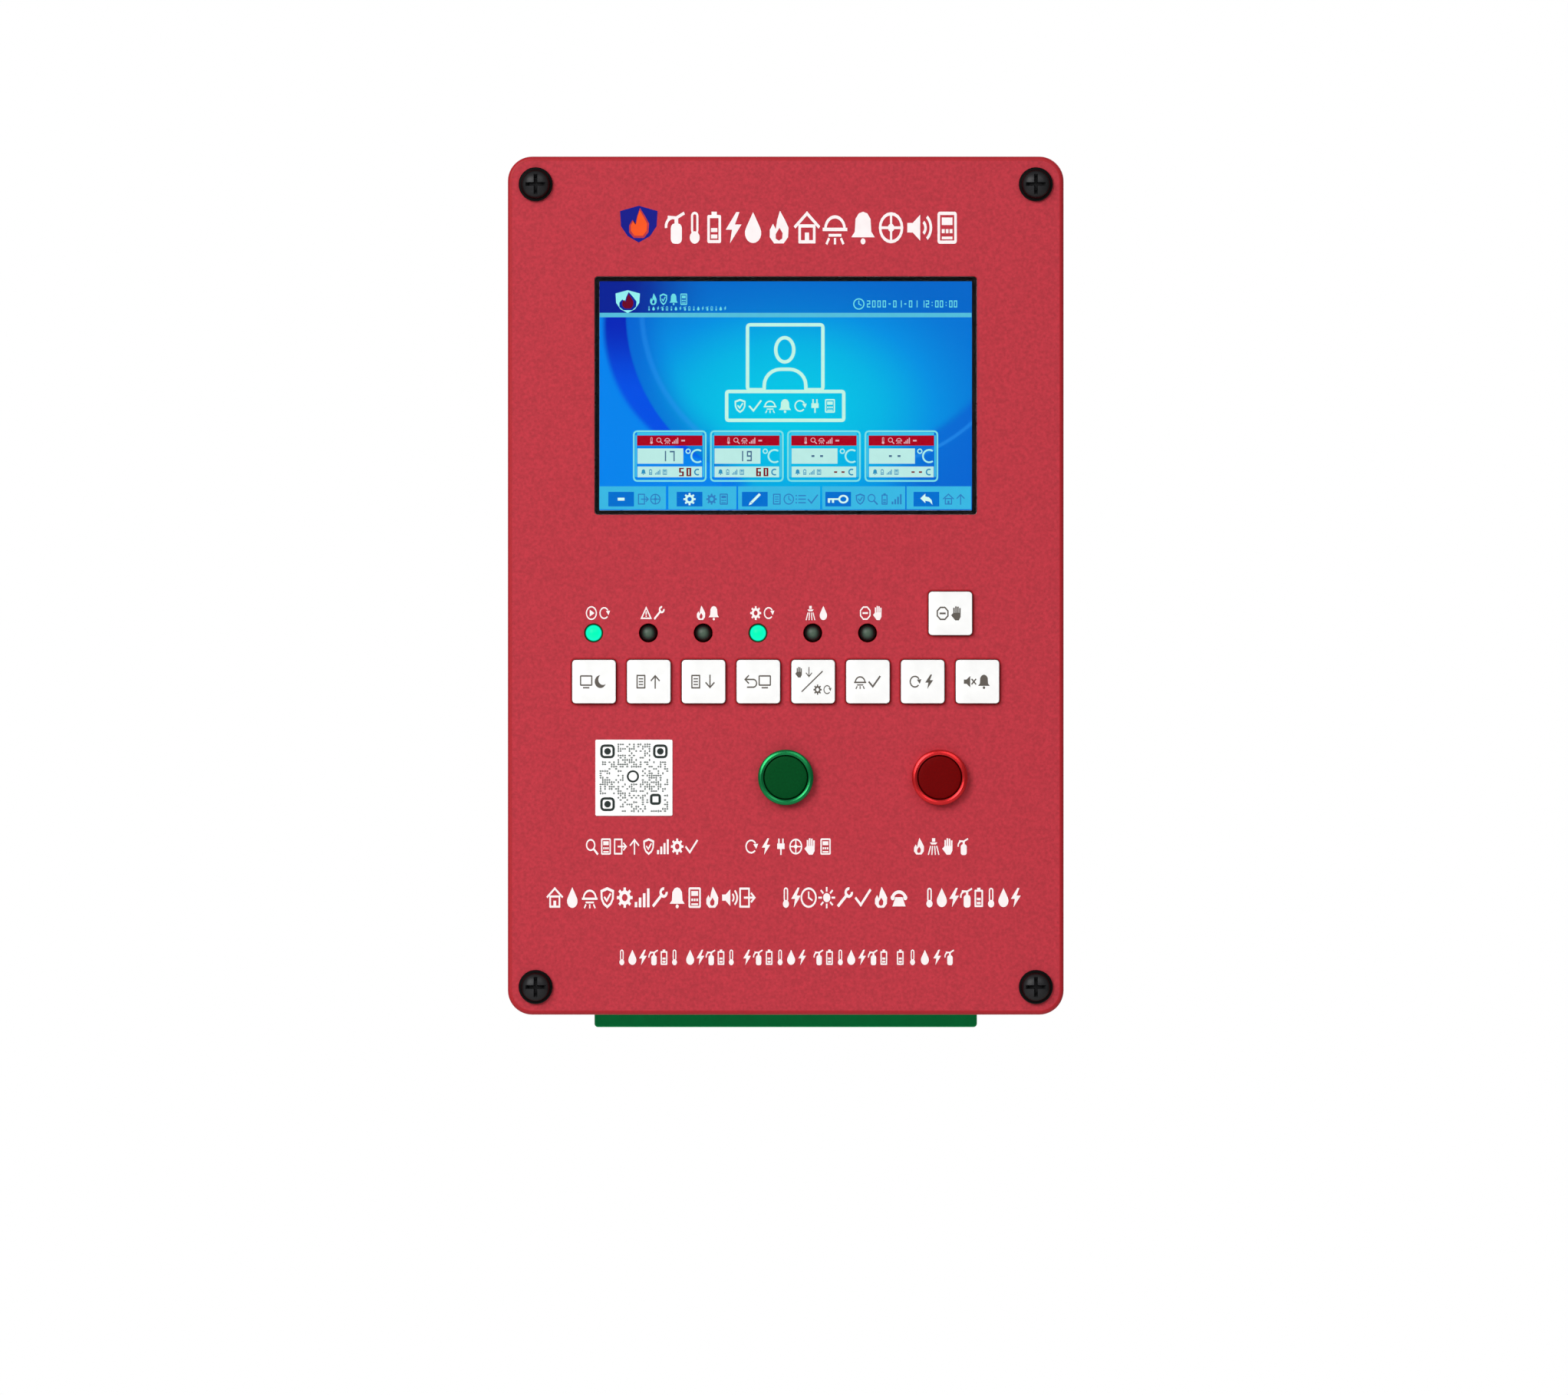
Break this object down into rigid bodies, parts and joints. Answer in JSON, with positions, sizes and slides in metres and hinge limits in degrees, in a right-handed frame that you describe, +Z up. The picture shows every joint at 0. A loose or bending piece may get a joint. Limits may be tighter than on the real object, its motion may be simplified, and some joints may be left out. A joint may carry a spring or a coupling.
{
  "type": "fire alarm control panel",
  "caption": "Wall-mounted fire alarm control panel: red coated case, colour touch display, square keys, indicator lamps, push buttons and a plug-in header below.",
  "frame": {"origin": "centre of the housing's back face, which lies on the wall", "axes": "+X to the right and +Z up as the panel is read, +Y into the wall, so the front faces -Y"},
  "size_m": [0.16, 0.0537, 0.251],
  "materials": {
    "red_powder_coat": "satin",
    "gasket_rubber": "matte",
    "label_film": "satin",
    "screen_glass": "gloss",
    "display_metal": "satin",
    "circuit_board": "satin",
    "ribbon_cable": "satin",
    "green_header_plastic": "satin",
    "relay_case": "satin",
    "component_black": "satin",
    "plated_steel": "satin",
    "black_screw_steel": "satin",
    "white_key_plastic": "satin",
    "led_lit_lens": "gloss",
    "led_dark_lens": "gloss",
    "green_button_ring": "satin",
    "green_button_cap": "satin",
    "red_button_ring": "satin",
    "red_button_cap": "satin"
  },
  "bodies": {
    "enclosure": {"buzzer": "component_black", "code_label": "label_film", "coin_cell": "plated_steel", "controller_chip": "component_black", "cover_gasket": "gasket_rubber", "cover_screw_1": "black_screw_steel", "cover_screw_2": "black_screw_steel", "cover_screw_3": "black_screw_steel", "cover_screw_4": "black_screw_steel", "discharge_button_bezel": "red_button_ring", "discharge_button_contacts": "component_black", "discharge_button_lead": "component_black", "discharge_button_nut": "component_black", "discharge_button_spring": "plated_steel", "display_board": "circuit_board", "display_frame": "display_metal", "display_ribbon": "ribbon_cable", "filter_capacitor": "component_black", "front_cover": "red_powder_coat", "keypad_board": "circuit_board", "keypad_ribbon": "ribbon_cable", "lcd_module": "display_metal", "led_auto": "led_lit_lens", "led_discharge": "led_dark_lens", "led_fault": "led_dark_lens", "led_fire": "led_dark_lens", "led_run": "led_lit_lens", "led_stop": "led_dark_lens", "main_board": "circuit_board", "power_inductor": "component_black", "rear_housing": "red_powder_coat", "relay_1": "relay_case", "relay_2": "relay_case", "restart_button_bezel": "green_button_ring", "restart_button_contacts": "component_black", "restart_button_lead": "component_black", "restart_button_nut": "component_black", "restart_button_spring": "plated_steel", "switch_back": "component_black", "switch_manual_auto": "component_black", "switch_mute": "component_black", "switch_page_down": "component_black", "switch_page_up": "component_black", "switch_reset": "component_black", "switch_screen_off": "component_black", "switch_self_test": "component_black", "switch_stop": "component_black", "terminal_header": "green_header_plastic", "touch_glass": "screen_glass"},
    "screen_off_key": {"key_screen_off": "white_key_plastic"},
    "page_up_key": {"key_page_up": "white_key_plastic"},
    "page_down_key": {"key_page_down": "white_key_plastic"},
    "back_key": {"key_back": "white_key_plastic"},
    "manual_auto_key": {"key_manual_auto": "white_key_plastic"},
    "self_test_key": {"key_self_test": "white_key_plastic"},
    "reset_key": {"key_reset": "white_key_plastic"},
    "mute_key": {"key_mute": "white_key_plastic"},
    "stop_key": {"key_stop": "white_key_plastic"},
    "restart_button": {"restart_button_cap": "green_button_cap"},
    "discharge_button": {"discharge_button_cap": "red_button_cap"}
  },
  "joints": [
    {"name": "press_screen_off_key", "type": "slide", "parent": "enclosure", "child": "screen_off_key", "axis": [0, 1, 0], "range_m": [0, 0.0005], "stiffness_N_per_m": 2000, "springref_m": -0.0003},
    {"name": "press_page_up_key", "type": "slide", "parent": "enclosure", "child": "page_up_key", "axis": [0, 1, 0], "range_m": [0, 0.0005], "stiffness_N_per_m": 2000, "springref_m": -0.0003},
    {"name": "press_page_down_key", "type": "slide", "parent": "enclosure", "child": "page_down_key", "axis": [0, 1, 0], "range_m": [0, 0.0005], "stiffness_N_per_m": 2000, "springref_m": -0.0003},
    {"name": "press_back_key", "type": "slide", "parent": "enclosure", "child": "back_key", "axis": [0, 1, 0], "range_m": [0, 0.0005], "stiffness_N_per_m": 2000, "springref_m": -0.0003},
    {"name": "press_manual_auto_key", "type": "slide", "parent": "enclosure", "child": "manual_auto_key", "axis": [0, 1, 0], "range_m": [0, 0.0005], "stiffness_N_per_m": 2000, "springref_m": -0.0003},
    {"name": "press_self_test_key", "type": "slide", "parent": "enclosure", "child": "self_test_key", "axis": [0, 1, 0], "range_m": [0, 0.0005], "stiffness_N_per_m": 2000, "springref_m": -0.0003},
    {"name": "press_reset_key", "type": "slide", "parent": "enclosure", "child": "reset_key", "axis": [0, 1, 0], "range_m": [0, 0.0005], "stiffness_N_per_m": 2000, "springref_m": -0.0003},
    {"name": "press_mute_key", "type": "slide", "parent": "enclosure", "child": "mute_key", "axis": [0, 1, 0], "range_m": [0, 0.0005], "stiffness_N_per_m": 2000, "springref_m": -0.0003},
    {"name": "press_stop_key", "type": "slide", "parent": "enclosure", "child": "stop_key", "axis": [0, 1, 0], "range_m": [0, 0.0005], "stiffness_N_per_m": 2000, "springref_m": -0.0003},
    {"name": "press_restart_button", "type": "slide", "parent": "enclosure", "child": "restart_button", "axis": [0, 1, 0], "range_m": [0, 0.002], "stiffness_N_per_m": 500, "springref_m": -0.003, "deforming": ["restart_button_spring"]},
    {"name": "press_discharge_button", "type": "slide", "parent": "enclosure", "child": "discharge_button", "axis": [0, 1, 0], "range_m": [0, 0.002], "stiffness_N_per_m": 500, "springref_m": -0.003, "deforming": ["discharge_button_spring"]}
  ]
}
